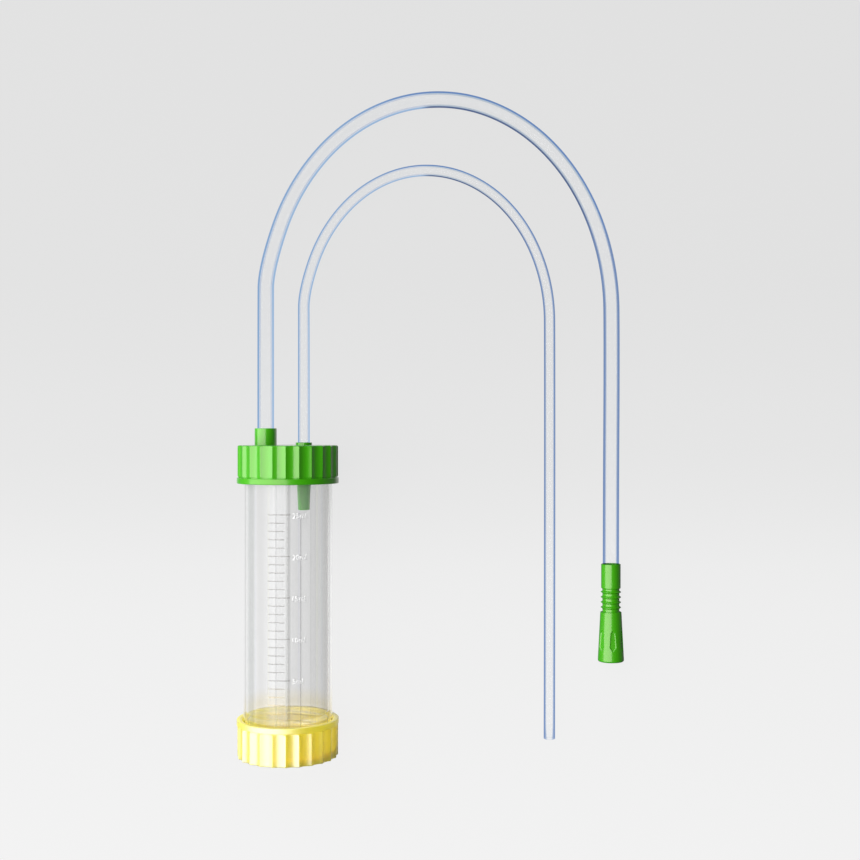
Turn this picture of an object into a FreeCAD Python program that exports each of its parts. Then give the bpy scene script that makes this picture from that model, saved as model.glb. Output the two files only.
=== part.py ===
import FreeCAD, Part
import math
import os
import re
import Sketcher
from FreeCAD import Placement, Rotation, Vector

# A mucus extractor laid flat on a surface: a clear graduated container with a screw cap at each
# end, two clear tubes out of one cap, and a funnel connector on the end of the larger tube.
# Frame: +Y runs along the container towards the tubed cap, +Z is up, and the origin lies on the
# surface below the middle of the container with its caps.

# Driving sizes in millimetres: name, value, what it measures
drivingSizes = (
    ("containerWall", 1.1, "thickness of the clear wall"),
    ("containerLength", 85.0, "rim to rim"),
    ("neckStep", 0.4, "clear wall's outside beyond the root of the thread"),
    ("neckLength", 7.5, "rim to shoulder"),
    ("shoulderLength", 0.4, "cone between neck and wall"),
    ("floorDepth", 8.5, "skirt rim to the underside of the container's floor"),
    ("floorThickness", 1.45, "container's floor"),
    ("floorRound", 1.0, "radius where the floor meets the wall inside"),
    ("skirtWall", 1.1, "wall of the skirt under the floor"),
    ("capRadius", 14.7, "outside of a cap, over its flange and flute ridges"),
    ("capHeight", 11.0, "open face to outer face"),
    ("capWall", 1.55, "a cap's skirt, flange to bore"),
    ("capPlate", 1.5, "thickness of a cap's end plate"),
    ("threadRoom", 0.75, "between a cap's bore and the root of the thread"),
    ("flangeHeight", 1.6, "plain ring at a cap's open face"),
    ("notchHeight", 0.45, "gap between the flange and the ridge ends"),
    ("notchDepth", 0.35, "how far that gap cuts in"),
    ("fluteCount", 24, "finger flutes round a cap"),
    ("fluteDepth", 0.7, "ridge top to flute bottom"),
    ("ridgeLand", 0.16, "width of the flat on a ridge top"),
    ("tubedFlutePhase", 3.9, "degrees from straight down to the first flute, tubed cap"),
    ("spareFlutePhase", 11.1, "degrees from straight up to the first flute, spare cap"),
    ("tubedCapRound", 0.65, "rounding of the tubed cap's outer edge"),
    ("spareCapRound", 0.3, "rounding of the spare cap's outer edge"),
    ("linerThickness", 1.0, "sealing liner between a rim and a cap's plate"),
    ("linerClearance", 0.3, "between a liner's edge and the cap's bore"),
    ("linerWidth", 2.45, "ring of the tubed cap's liner, edge to hole"),
    ("suctionPortOffset", 6.45, "suction port, off the container's axis"),
    ("suctionCollarWall", 0.77, "wall of the suction port's collar"),
    ("suctionCollarHeight", 4.9, "collar above the cap's outer face"),
    ("suctionSocketDepth", 5.6, "collar top to the shoulder that the tube seats on"),
    ("catheterPortOffset", 4.62, "catheter port, off the container's axis"),
    ("catheterCollarWall", 0.65, "wall of the catheter port's collar and of the nozzle's root"),
    ("catheterCollarHeight", 0.8, "collar above the cap's outer face"),
    ("catheterSocketDepth", 6.0, "collar top to the shoulder that the catheter seats on"),
    ("nozzleTipWall", 0.59, "wall of the drip nozzle at its tip"),
    ("nozzleLength", 17.3, "plate to tip"),
    ("nozzleRound", 0.3, "rounding of the tip's outer edge"),
    ("collarRound", 0.15, "rounding of the collars' outer edges"),
    ("suctionTubeRadius", 2.4, "outside of the suction tube"),
    ("suctionTubeBore", 1.65, "bore radius of the suction tube"),
    ("catheterRadius", 1.7, "outside of the catheter tube"),
    ("catheterBore", 1.1, "bore radius of the catheter tube"),
    ("tubeClearance", 0.03, "between a tube and its socket"),
    ("connectorX", 95.15, "connector's axis across from the container's"),
    ("connectorMouthY", -22.05, "mouth of the connector along the container's axis"),
    ("sleeveWall", 0.45, "wall of the sleeve that takes the suction tube"),
    ("sleeveLength", 7.35, "sleeve down to the ribbed neck"),
    ("sleeveChamfer", 0.25, "chamfer at the sleeve's lower edge"),
    ("seatLip", 0.35, "ribbed neck to the shoulder in the sleeve that the tube seats on"),
    ("ribbedNeckRadius", 2.5, "root between the ribs"),
    ("ribbedNeckLength", 6.9, "sleeve to flared body"),
    ("ribRadius", 3.06, "crest of a rib"),
    ("ribWidth", 0.87, "width of a rib at its root"),
    ("ribCount", 4, "ribs on the neck"),
    ("ribPitch", 1.53, "crest to crest"),
    ("firstRibHeight", 1.35, "flared body to the first crest"),
    ("flareTopRadius", 3.13, "flared body at the neck"),
    ("flareMouthRadius", 3.9, "flared body at the mouth"),
    ("flareLength", 14.8, "length of the flared body"),
    ("mouthRound", 0.7, "rounding of the mouth's outer edge"),
    ("mouthBore", 2.7, "bore that takes the pump's nipple"),
    ("mouthDepth", 12.0, "length of that bore"),
    ("throatLength", 1.3, "cone from that bore to the tube's bore"),
    ("gripCount", 6, "recessed hexagons round the flared body"),
    ("gripPhase", 2.5, "degrees from straight down to the first hexagon"),
    ("gripDepth", 0.35, "depth of a hexagon"),
    ("gripLowPoint", 3.33, "mouth to a hexagon's lower corner"),
    ("gripLowShoulder", 4.43, "mouth to its wide shoulder"),
    ("gripHighShoulder", 8.75, "mouth to its narrow shoulder"),
    ("gripHighPoint", 9.6, "mouth to its upper corner"),
    ("gripWideHalf", 0.98, "half its width at the wide shoulder"),
    ("gripNarrowHalf", 0.66, "half its width at the narrow shoulder"),
)

# Sizes worked out from the driving ones, as sheet formulas
derivedSizes = (
    ("capBore", "capRadius - capWall"),
    ("neckRadius", "capBore - threadRoom"),
    ("containerRadius", "neckRadius + neckStep"),
    ("tubedFaceFromSpare", "2 * (capPlate + linerThickness) + containerLength"),
    ("spareFaceY", "-(tubedFaceFromSpare + suctionCollarHeight) / 2"),
    ("skirtRimY", "spareFaceY + capPlate + linerThickness"),
    ("tubedOpenY", "spareFaceY + tubedFaceFromSpare - capHeight"),
    ("fluteStep", "360 / fluteCount"),
    ("fluteHalfChord", "capRadius * sin(fluteStep / 2 * 1 deg) - ridgeLand / 2"),
    ("fluteSagitta", "fluteDepth - capRadius * (1 - cos(fluteStep / 2 * 1 deg))"),
    ("fluteRadius", "(fluteHalfChord ^ 2 + fluteSagitta ^ 2) / (2 * fluteSagitta)"),
    ("fluteRing", "capRadius - fluteDepth + fluteRadius"),
    ("linerRadius", "capBore - linerClearance"),
    ("linerInnerRadius", "linerRadius - linerWidth"),
    ("suctionSocket", "suctionTubeRadius + tubeClearance"),
    ("suctionCollarRadius", "suctionSocket + suctionCollarWall"),
    ("catheterSocket", "catheterRadius + tubeClearance"),
    ("catheterCollarRadius", "catheterSocket + catheterCollarWall"),
    ("nozzleTipRadius", "catheterBore + nozzleTipWall"),
    ("sleeveRadius", "suctionSocket + sleeveWall"),
    ("connectorLength", "sleeveLength + ribbedNeckLength + flareLength"),
    ("connectorSeat", "flareLength + ribbedNeckLength + seatLip"),
    ("flareSlope", "(flareMouthRadius - flareTopRadius) / flareLength"),
    ("gripMiddle", "(gripLowPoint + gripHighPoint) / 2"),
    ("gripFloor", "flareMouthRadius - flareSlope * gripMiddle - gripDepth"),
)

# Free stretch of each tube from just past its port, in millimetres: down to the surface in the
# first half of its arch, then along the surface. Chosen by hand. Y and Z are in the part's frame.
suctionStretch = (
    (-6.8, 82.5, 11.9),
    (-7.1, 94.3, 9.2),
    (0.1, 118.0, 5.0),
    (14.4, 136.3, 2.45),
    (33.4, 145.9, 2.45),
    (54.0, 145.9, 2.45),
    (73.0, 136.3, 2.45),
    (87.5, 118.5, 2.45),
    (95.4, 95.2, 2.45),
)
catheterStretch = (
    (4.3, 77.5, 11.4),
    (4.0, 87.8, 8.9),
    (9.2, 104.7, 5.2),
    (19.3, 117.7, 2.6),
    (32.8, 124.8, 1.75),
    (47.5, 124.8, 1.75),
    (61.1, 117.9, 1.75),
    (71.4, 105.2, 1.75),
    (77.0, 88.6, 1.75),
    (77.1, 20.5, 1.75),
    (77.0, -45.6, 1.75),
)
straightOutY = (62.0, 57.0)  # where the suction tube and the catheter start to come down
connectorLeadIn = 24.0  # straight run of the suction tube before the connector, to Y
arcShare = 0.45  # share of the shorter run that each bend takes

doc = FreeCAD.newDocument("MucusExtractor")
sheet = doc.addObject("Spreadsheet::Sheet", "Sizes")
for row, (alias, number, note) in enumerate(drivingSizes, start=1):
    sheet.set(f"A{row}", alias)
    sheet.set(f"B{row}", str(number))
    sheet.setAlias(f"B{row}", alias)
    sheet.set(f"C{row}", note)
for row, (alias, formula) in enumerate(derivedSizes, start=len(drivingSizes) + 1):
    sheet.set(f"A{row}", alias)
    sheet.set(f"B{row}", "=" + formula)
    sheet.setAlias(f"B{row}", alias)
doc.recompute()
aliases = {entry[0] for entry in drivingSizes + derivedSizes}


def linked(formula):
    """The formula with each size's name pointing into the sheet."""
    return re.sub(r"[A-Za-z]\w+", lambda m: ("Sizes." if m[0] in aliases else "") + m[0], formula)


def value(formula):
    return float(sheet.evalExpression(linked(formula)))


def bind(thing, where, formula):
    thing.setExpression(where, linked(formula))


def originPart(body, role):
    return [part for part in body.Origin.OriginFeatures if part.Role == role][0]


def newBody(name, label):
    body = doc.addObject("PartDesign::Body", name)
    body.Label = label
    return body


def newSketch(body, name, plane, lift="0"):
    sketch = body.newObject("Sketcher::SketchObject", name)
    sketch.AttachmentSupport = [(originPart(body, plane), "")]
    sketch.MapMode = "FlatFace"
    bind(sketch, "AttachmentOffset.Base.z", lift)
    return sketch


def pin(sketch, geometry, point, across, up):
    """Ties one point of a sketch to a formula each way; 0 puts it on the axis."""
    for kind, axis, formula in (("DistanceX", -2, across), ("DistanceY", -1, up)):
        if formula == "0":
            sketch.addConstraint(Sketcher.Constraint("PointOnObject", geometry, point, axis))
            continue
        number = sketch.addConstraint(
            Sketcher.Constraint(kind, -1, 1, geometry, point, value(formula))
        )
        name = f"{kind}{geometry}"
        sketch.renameConstraint(number, name)
        bind(sketch, f"Constraints.{name}", formula)


def outline(sketch, corners):
    """A closed outline of straight lines through corners given as formulas."""
    spots = [Vector(value(across), value(up), 0) for across, up in corners]
    for index, spot in enumerate(spots):
        sketch.addGeometry(Part.LineSegment(spot, spots[(index + 1) % len(spots)]), False)
    for index in range(len(spots)):
        after = (index + 1) % len(spots)
        sketch.addConstraint(Sketcher.Constraint("Coincident", index, 2, after, 1))
    for index, (across, up) in enumerate(corners):
        pin(sketch, index, 1, across, up)


def ring(sketch, radius, across="0", up="0"):
    """A circle whose radius and centre are formulas."""
    centre = Vector(value(across), value(up), 0)
    number = sketch.addGeometry(Part.Circle(centre, Vector(0, 0, 1), value(radius)), False)
    held = sketch.addConstraint(Sketcher.Constraint("Radius", number, value(radius)))
    sketch.renameConstraint(held, f"Radius{number}")
    bind(sketch, f"Constraints.Radius{number}", radius)
    pin(sketch, number, 3, across, up)


def revolve(body, name, corners):
    """Turns an outline of radius and height about the body's own axis."""
    sketch = newSketch(body, name + "Outline", "XZ_Plane")
    outline(sketch, corners)
    turned = body.newObject("PartDesign::Revolution", name)
    turned.Profile = sketch
    turned.ReferenceAxis = (sketch, ["V_Axis"])
    turned.Angle = 360
    doc.recompute()
    return turned


def pad(body, name, sketch, length):
    grown = body.newObject("PartDesign::Pad", name)
    grown.Profile = sketch
    bind(grown, "Length", length)
    doc.recompute()
    return grown


def pocket(body, name, sketch, length, upward=False):
    """Cuts a sketch down, or up, by a length, and makes sure that it has cut something."""
    before = body.Shape.Volume
    cut = body.newObject("PartDesign::Pocket", name)
    cut.Profile = sketch
    cut.Reversed = upward
    bind(cut, "Length", length)
    doc.recompute()
    if not cut.Shape.Volume < before:
        raise RuntimeError(f"{name} removed nothing")
    return cut


def circlePatterned(body, name, feature, count):
    """Repeats a feature round the body's own axis."""
    pattern = body.newObject("PartDesign::PolarPattern", name)
    pattern.Originals = [feature]
    pattern.Axis = (originPart(body, "Z_Axis"), [""])
    pattern.Angle = 360
    bind(pattern, "Occurrences", count)
    body.Tip = pattern
    doc.recompute()
    return pattern


def rimNames(feature, radius, height, across=0.0):
    """The circular edges of a feature with that radius at that height, centred at that X."""
    names = []
    for number, edge in enumerate(feature.Shape.Edges, start=1):
        if not isinstance(edge.Curve, Part.Circle):
            continue
        centre = edge.Curve.Center
        if (
            abs(edge.Curve.Radius - radius) < 1e-4
            and abs(centre.z - height) < 1e-4
            and abs(centre.x - across) < 1e-4
        ):
            names.append(f"Edge{number}")
    if not names:
        raise RuntimeError(f"{feature.Label} has no edge of radius {radius:g} at {height:g}")
    return names


def roundOff(body, name, feature, edges, radius):
    softened = body.newObject("PartDesign::Fillet", name)
    softened.Base = (feature, edges)
    bind(softened, "Radius", radius)
    doc.recompute()
    return softened


def place(body, turn, across, along, up):
    """Turns a piece about X so that its own axis lies along Y, and ties its place."""
    body.Placement = Placement(Vector(0, 0, 0), turn)
    bind(body, "Placement.Base.x", across)
    bind(body, "Placement.Base.y", along)
    bind(body, "Placement.Base.z", up)
    doc.recompute()


towardsTubes = Rotation(Vector(1, 0, 0), -90)
towardsSpare = Rotation(Vector(1, 0, 0), 90)


def specimenContainer():
    """Clear moulded tube with a floor, a threaded neck above and a threaded skirt below."""
    body = newBody("SpecimenContainer", "specimen_container")
    floorTop = "floorDepth + floorThickness"
    corners = (
        ("neckRadius - skirtWall", "0"),
        ("neckRadius", "0"),
        ("neckRadius", "neckLength"),
        ("containerRadius", "neckLength + shoulderLength"),
        ("containerRadius", "containerLength - neckLength - shoulderLength"),
        ("neckRadius", "containerLength - neckLength"),
        ("neckRadius", "containerLength"),
        ("containerRadius - containerWall", "containerLength"),
        ("containerRadius - containerWall", floorTop),
        ("0", floorTop),
        ("0", "floorDepth"),
        ("neckRadius - skirtWall", "floorDepth"),
    )
    moulded = revolve(body, "ContainerWall", corners)
    inside = rimNames(moulded, value("containerRadius - containerWall"), value(floorTop))
    roundOff(body, "FloorRound", moulded, inside, "floorRound")
    place(body, towardsTubes, "0", "skirtRimY", "capRadius")
    return body


def flutedCap(name, label, phase, edgeRound):
    """Screw cap: plate and skirt, plain flange at the open face, finger flutes above it."""
    body = newBody(name, label)
    ridgeFoot = "flangeHeight + notchHeight"
    corners = (
        ("capBore", "0"),
        ("capRadius", "0"),
        ("capRadius", "flangeHeight"),
        ("capRadius - notchDepth", "flangeHeight + notchHeight / 2"),
        ("capRadius", ridgeFoot),
        ("capRadius", "capHeight"),
        ("0", "capHeight"),
        ("0", "capHeight - capPlate"),
        ("capBore", "capHeight - capPlate"),
    )
    turned = revolve(body, name + "Skirt", corners)
    outerEdge = rimNames(turned, value("capRadius"), value("capHeight"))
    roundOff(body, name + "Edge", turned, outerEdge, edgeRound)
    sketch = newSketch(body, name + "FluteSection", "XY_Plane", "flangeHeight")
    across = f"fluteRing * sin({phase} * 1 deg)"
    up = f"fluteRing * cos({phase} * 1 deg)"
    ring(sketch, "fluteRadius", across, up)
    flute = pocket(body, name + "Flute", sketch, "capHeight", upward=True)
    circlePatterned(body, name + "Flutes", flute, "fluteCount")
    return body


def tubePort(body, name, offset, collarRadius, collarHeight, socketRadius, socketDepth):
    """Collar on the cap's outer face, with the socket that takes a tube."""
    foot = newSketch(body, name + "CollarSection", "XY_Plane", "capHeight")
    ring(foot, collarRadius, offset)
    collar = pad(body, name + "Collar", foot, collarHeight)
    top = value(f"capHeight + {collarHeight}")
    across = value(offset)
    outerEdge = rimNames(collar, value(collarRadius), top, across)
    roundOff(body, name + "CollarEdge", collar, outerEdge, "collarRound")
    mouth = newSketch(body, name + "SocketSection", "XY_Plane", f"capHeight + {collarHeight}")
    ring(mouth, socketRadius, offset)
    pocket(body, name + "Socket", mouth, socketDepth)


def tubedCap():
    """Green cap with the suction port, the catheter port and the drip nozzle under it."""
    body = flutedCap("TubedCap", "tubed_cap", "tubedFlutePhase", "tubedCapRound")
    nozzle = body.newObject("PartDesign::AdditiveCone", "DripNozzle")
    nozzle.AttachmentSupport = [(originPart(body, "XY_Plane"), "")]
    nozzle.MapMode = "FlatFace"
    bind(nozzle, "AttachmentOffset.Base.x", "catheterPortOffset")
    bind(nozzle, "AttachmentOffset.Base.z", "capHeight - capPlate - nozzleLength")
    bind(nozzle, "Radius1", "nozzleTipRadius")
    bind(nozzle, "Radius2", "catheterCollarRadius")
    bind(nozzle, "Height", "nozzleLength")
    doc.recompute()
    tip = value("capHeight - capPlate - nozzleLength")
    tipEdge = rimNames(nozzle, value("nozzleTipRadius"), tip, value("catheterPortOffset"))
    roundOff(body, "NozzleTipEdge", nozzle, tipEdge, "nozzleRound")
    tubePort(
        body,
        "Suction",
        "-suctionPortOffset",
        "suctionCollarRadius",
        "suctionCollarHeight",
        "suctionSocket",
        "suctionSocketDepth",
    )
    tubePort(
        body,
        "Catheter",
        "catheterPortOffset",
        "catheterCollarRadius",
        "catheterCollarHeight",
        "catheterSocket",
        "catheterSocketDepth",
    )
    suctionBore = newSketch(body, "SuctionBoreSection", "XY_Plane", "capHeight")
    ring(suctionBore, "suctionTubeBore", "-suctionPortOffset")
    pocket(body, "SuctionBore", suctionBore, "capPlate + nozzleLength")
    catheterBore = newSketch(body, "CatheterBoreSection", "XY_Plane", "capHeight")
    ring(catheterBore, "catheterBore", "catheterPortOffset")
    pocket(body, "CatheterBore", catheterBore, "capPlate + nozzleLength")
    place(body, towardsTubes, "0", "tubedOpenY", "capRadius")
    return body


def spareCap():
    """Yellow lid stored on the skirt, used to close the container when the tubes come off."""
    body = flutedCap("SpareCap", "spare_cap", "spareFlutePhase", "spareCapRound")
    place(body, towardsSpare, "0", "spareFaceY + capHeight", "capRadius")
    return body


def liner(name, label, along, inner=None):
    """Thin sealing washer, or disc, between a rim and a cap's plate."""
    body = newBody(name, label)
    section = newSketch(body, name + "Section", "XY_Plane")
    ring(section, "linerRadius")
    if inner:
        ring(section, inner)
    pad(body, name + "Sheet", section, "linerThickness")
    place(body, towardsTubes, "0", along, "capRadius")
    return body


def suctionConnector():
    """Funnel connector: sleeve, ribbed neck and flared body with six recessed hexagons."""
    body = newBody("SuctionConnector", "suction_connector")
    neckTop = "flareLength + ribbedNeckLength"
    corners = (
        ("mouthBore", "0"),
        ("flareMouthRadius", "0"),
        ("flareTopRadius", "flareLength"),
        ("ribbedNeckRadius", "flareLength"),
        ("ribbedNeckRadius", neckTop),
        ("sleeveRadius - sleeveChamfer", neckTop),
        ("sleeveRadius", neckTop + " + sleeveChamfer"),
        ("sleeveRadius", "connectorLength"),
        ("suctionSocket", "connectorLength"),
        ("suctionSocket", "connectorSeat"),
        ("suctionTubeBore", "connectorSeat"),
        ("suctionTubeBore", "mouthDepth + throatLength"),
        ("mouthBore", "mouthDepth"),
    )
    turned = revolve(body, "ConnectorWall", corners)
    mouthEdge = rimNames(turned, value("flareMouthRadius"), 0.0)
    roundOff(body, "MouthEdge", turned, mouthEdge, "mouthRound")
    crest = "flareLength + firstRibHeight"
    rib = revolve(
        body,
        "Rib",
        (
            ("ribbedNeckRadius - gripDepth", f"{crest} - ribWidth / 2"),
            ("ribbedNeckRadius", f"{crest} - ribWidth / 2"),
            ("ribRadius", crest),
            ("ribbedNeckRadius", f"{crest} + ribWidth / 2"),
            ("ribbedNeckRadius - gripDepth", f"{crest} + ribWidth / 2"),
        ),
    )
    ribs = body.newObject("PartDesign::LinearPattern", "Ribs")
    ribs.Originals = [rib]
    ribs.Direction = (originPart(body, "Z_Axis"), [""])
    bind(ribs, "Length", "ribPitch * (ribCount - 1)")
    bind(ribs, "Occurrences", "ribCount")
    body.Tip = ribs
    doc.recompute()
    section = newSketch(body, "GripSection", "XZ_Plane", "-gripFloor")
    bind(section, "AttachmentOffset.Base.y", "gripMiddle")
    bind(section, "AttachmentOffset.Rotation.Angle", "atan(flareSlope)")
    section.AttachmentOffset.Rotation.Axis = Vector(1, 0, 0)
    outline(
        section,
        (
            ("0", "gripLowPoint - gripMiddle"),
            ("gripWideHalf", "gripLowShoulder - gripMiddle"),
            ("gripNarrowHalf", "gripHighShoulder - gripMiddle"),
            ("0", "gripHighPoint - gripMiddle"),
            ("-gripNarrowHalf", "gripHighShoulder - gripMiddle"),
            ("-gripWideHalf", "gripLowShoulder - gripMiddle"),
        ),
    )
    grip = pocket(body, "Grip", section, "flareMouthRadius")
    circlePatterned(body, "Grips", grip, "gripCount")
    turn = towardsTubes.multiply(Rotation(Vector(0, 0, 1), value("gripPhase")))
    place(body, turn, "connectorX", "connectorMouthY", "flareMouthRadius")
    return body


def routeWire(name, points):
    """Straight runs joined by tangent arcs, each as large as its two runs allow."""
    edges = []
    radii = []
    start = points[0]
    for before, corner, after in zip(points, points[1:], points[2:]):
        into = (corner - before).normalize()
        outOf = (after - corner).normalize()
        turn = into.getAngle(outOf)
        reach = arcShare * min(corner.distanceToPoint(before), corner.distanceToPoint(after))
        radius = reach / math.tan(turn / 2)
        inward = (outOf - into).normalize()
        middle = corner + inward * (radius / math.cos(turn / 2) - radius)
        arcStart = corner - into * reach
        arcEnd = corner + outOf * reach
        edges.append(Part.LineSegment(start, arcStart).toShape())
        edges.append(Part.Arc(arcStart, middle, arcEnd).toShape())
        radii.append(radius)
        start = arcEnd
    edges.append(Part.LineSegment(start, points[-1]).toShape())
    print(f"{name} bend radii in mm:", ", ".join(f"{radius:.0f}" for radius in radii))
    return Part.Wire(edges)


def sweptTube(name, label, points, outer, bore):
    """A round tube along a route, its bore cut out of it."""
    wire = routeWire(label, points)
    route = doc.addObject("Part::Feature", name + "Route")
    route.Shape = wire
    swept = []
    for part, radius in (("Outside", outer), ("Bore", bore)):
        section = doc.addObject("Part::Circle", name + part + "Section")
        bind(section, "Radius", radius)
        section.Placement = Placement(points[0], Rotation(Vector(0, 0, 1), points[1] - points[0]))
        sweep = doc.addObject("Part::Sweep", name + part)
        sweep.Sections = [section]
        sweep.Spine = (route, [f"Edge{number}" for number in range(1, len(wire.Edges) + 1)])
        sweep.Solid = True
        swept.append(sweep)
    tube = doc.addObject("Part::Cut", name)
    tube.Base, tube.Tool = swept
    tube.Label = label
    doc.recompute()
    section = math.pi * (value(outer) ** 2 - value(bore) ** 2)
    expected = section * wire.Length
    print(f"{label}: {wire.Length:.1f} mm long, {tube.Shape.Volume:.1f} mm3 of {expected:.1f} mm3")
    if abs(tube.Shape.Volume / expected - 1) > 0.01:
        raise RuntimeError(f"{label} has the wrong volume")
    return tube


def suctionTube():
    """Larger tube, from the suction port's shoulder to the connector's."""
    axisX = value("-suctionPortOffset")
    axisZ = value("capRadius")
    seat = value("tubedOpenY + capHeight + suctionCollarHeight - suctionSocketDepth")
    endX = value("connectorX")
    endZ = value("flareMouthRadius")
    points = [Vector(axisX, seat, axisZ), Vector(axisX, straightOutY[0], axisZ)]
    points += [Vector(*spot) for spot in suctionStretch]
    points.append(Vector(endX, connectorLeadIn, endZ))
    points.append(Vector(endX, value("connectorMouthY + connectorSeat"), endZ))
    return sweptTube("SuctionTube", "suction_tube", points, "suctionTubeRadius", "suctionTubeBore")


def catheterTube():
    """Smaller tube, from the catheter port's shoulder to its bare end."""
    axisX = value("catheterPortOffset")
    axisZ = value("capRadius")
    seat = value("tubedOpenY + capHeight + catheterCollarHeight - catheterSocketDepth")
    points = [Vector(axisX, seat, axisZ), Vector(axisX, straightOutY[1], axisZ)]
    points += [Vector(*spot) for spot in catheterStretch]
    return sweptTube("CatheterTube", "catheter_tube", points, "catheterRadius", "catheterBore")


nodes = [
    specimenContainer(),
    tubedCap(),
    liner("TubedCapLiner", "tubed_cap_liner", "skirtRimY + containerLength", "linerInnerRadius"),
    spareCap(),
    liner("SpareCapLiner", "spare_cap_liner", "skirtRimY - linerThickness"),
    suctionConnector(),
    suctionTube(),
    catheterTube(),
]
doc.recompute()

for thing in doc.Objects:
    if {"Invalid", "Error"} & set(thing.State):
        raise RuntimeError(f"{thing.Label} failed: {thing.State}")
os.makedirs("parts", exist_ok=True)
for node in nodes:
    if node.Shape.isNull() or not node.Shape.isValid() or len(node.Shape.Solids) != 1:
        raise RuntimeError(f"{node.Label} has no valid solid")
    node.Shape.exportStep(os.path.join("parts", node.Label + ".step"))
    box = node.Shape.BoundBox
    spans = ((box.XMin, box.XMax), (box.YMin, box.YMax), (box.ZMin, box.ZMax))
    corners = ", ".join(f"{low:.2f} to {high:.2f}" for low, high in spans)
    print(f"{node.Label}: {corners}, {node.Shape.Volume:.1f} mm3")
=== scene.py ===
import math
import bmesh
import bpy
import numpy as np
from mathutils.geometry import delaunay_2d_cdt
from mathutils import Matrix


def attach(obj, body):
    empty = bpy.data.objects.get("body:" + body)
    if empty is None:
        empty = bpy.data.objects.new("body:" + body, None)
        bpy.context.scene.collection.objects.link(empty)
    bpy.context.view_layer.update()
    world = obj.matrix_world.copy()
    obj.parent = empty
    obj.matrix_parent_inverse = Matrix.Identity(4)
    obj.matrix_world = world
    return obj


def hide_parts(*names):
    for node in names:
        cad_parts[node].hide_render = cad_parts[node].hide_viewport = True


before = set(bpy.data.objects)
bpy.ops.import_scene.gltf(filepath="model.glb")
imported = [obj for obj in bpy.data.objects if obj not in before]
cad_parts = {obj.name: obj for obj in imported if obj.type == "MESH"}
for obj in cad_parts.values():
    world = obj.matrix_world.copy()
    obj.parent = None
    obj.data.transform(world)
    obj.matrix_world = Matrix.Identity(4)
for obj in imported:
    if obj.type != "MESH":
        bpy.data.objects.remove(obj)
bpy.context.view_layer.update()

# Sizes in the dictionaries below are in millimetres unless a note says otherwise.
# +Y runs along the container towards the green cap, +Z is up from the surface.
mm = 0.001
axisHeight = 14.7  # of the container and both caps, above the surface
fullTurn = 2 * math.pi


class Wire:
    # One output socket of a finish, so that 1 - mask * 2 adds its Math nodes.
    def __init__(self, finish, socket):
        self.finish = finish
        self.socket = socket

    def maths(self, operation, *given):
        inputs = dict(enumerate(given))
        return self.finish.node("ShaderNodeMath", {"operation": operation}, inputs)

    def __add__(self, other):
        return self.maths("ADD", self, other)

    def __sub__(self, other):
        return self.maths("SUBTRACT", self, other)

    def __rsub__(self, other):
        return self.maths("SUBTRACT", other, self)

    def __mul__(self, other):
        return self.maths("MULTIPLY", self, other)

    def __truediv__(self, other):
        return self.maths("DIVIDE", self, other)

    def __pow__(self, other):
        return self.maths("POWER", self, other)

    __radd__ = __add__
    __rmul__ = __mul__


class Finish:
    # A material under construction: node() takes a node's type, its settings and its inputs.
    def __init__(self, name):
        self.material = bpy.data.materials.new(name)
        self.material.use_nodes = True
        self.tree = self.material.node_tree
        self.tree.nodes.clear()

    def node(self, kind, settings, inputs, output=0):
        made = self.tree.nodes.new(kind)
        for name, setting in settings.items():
            if name == "stops":
                self.fillRamp(made.color_ramp, setting)
            else:
                setattr(made, name, setting)
        for name, given in inputs.items():
            if isinstance(given, Wire):
                self.tree.links.new(given.socket, made.inputs[name])
            else:
                made.inputs[name].default_value = given
        return Wire(self, made.outputs[output])

    def fillRamp(self, ramp, stops):
        while len(ramp.elements) < len(stops):
            ramp.elements.new(1.0)
        for element, (position, colour) in zip(ramp.elements, stops):
            element.position = position
            element.color = colour

    def place(self):
        return self.node("ShaderNodeTexCoord", {}, {}, "Object")

    def split(self, vector):
        inputs = {0: vector}
        return [self.node("ShaderNodeSeparateXYZ", {}, inputs, axis) for axis in "XYZ"]

    def join(self, x, y, z):
        return self.node("ShaderNodeCombineXYZ", {}, {0: x, 1: y, 2: z})

    def noise(self, vector, scale, detail=2.0):
        inputs = {"Vector": vector, "Scale": scale, "Detail": detail}
        return self.node("ShaderNodeTexNoise", {}, inputs)

    def tint(self, factor, low, high):
        settings = {"data_type": "RGBA"}
        return self.node("ShaderNodeMix", settings, {0: factor, 6: low, 7: high}, 2)

    def between(self, value, low, high):
        # 0 below low, 1 above high, eased in between
        settings = {"interpolation_type": "SMOOTHSTEP"}
        inputs = {"Value": value, "From Min": low, "From Max": high}
        return self.node("ShaderNodeMapRange", settings, inputs)

    def bump(self, height, strength, distance):
        inputs = {"Strength": strength, "Distance": distance, "Height": height}
        return self.node("ShaderNodeBump", {}, inputs)

    def mixed(self, factor, first, second):
        return self.node("ShaderNodeMixShader", {}, {0: factor, 1: first, 2: second})

    def passing(self, colour):
        return self.node("ShaderNodeBsdfTransparent", {}, {"Color": shade(colour)})

    def lightPath(self, ray):
        return self.node("ShaderNodeLightPath", {}, {}, ray)

    def close(self, surface):
        end = self.tree.nodes.new("ShaderNodeOutputMaterial")
        self.tree.links.new(surface.socket, end.inputs["Surface"])
        return self.material


def shade(colour, by=1.0):
    # A colour times a factor, each part 1 at most, with full alpha.
    return tuple(min(part * by, 1.0) for part in colour) + (1.0,)


def eased(value):
    # Smooth step: 0 below 0, 1 above 1, and 3v^2 - 2v^3 in between.
    value = np.clip(value, 0.0, 1.0)
    return value * value * (3 - 2 * value)


def softLower(first, second, blend):
    # The lower of two values, rounded over where they cross.
    return (first + second - np.sqrt((first - second) ** 2 + blend**2)) / 2


arcStep = 11  # degrees, about, between the points of a rounded corner
mostOfRun = 0.48  # share of a straight run that one rounding may take


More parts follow.
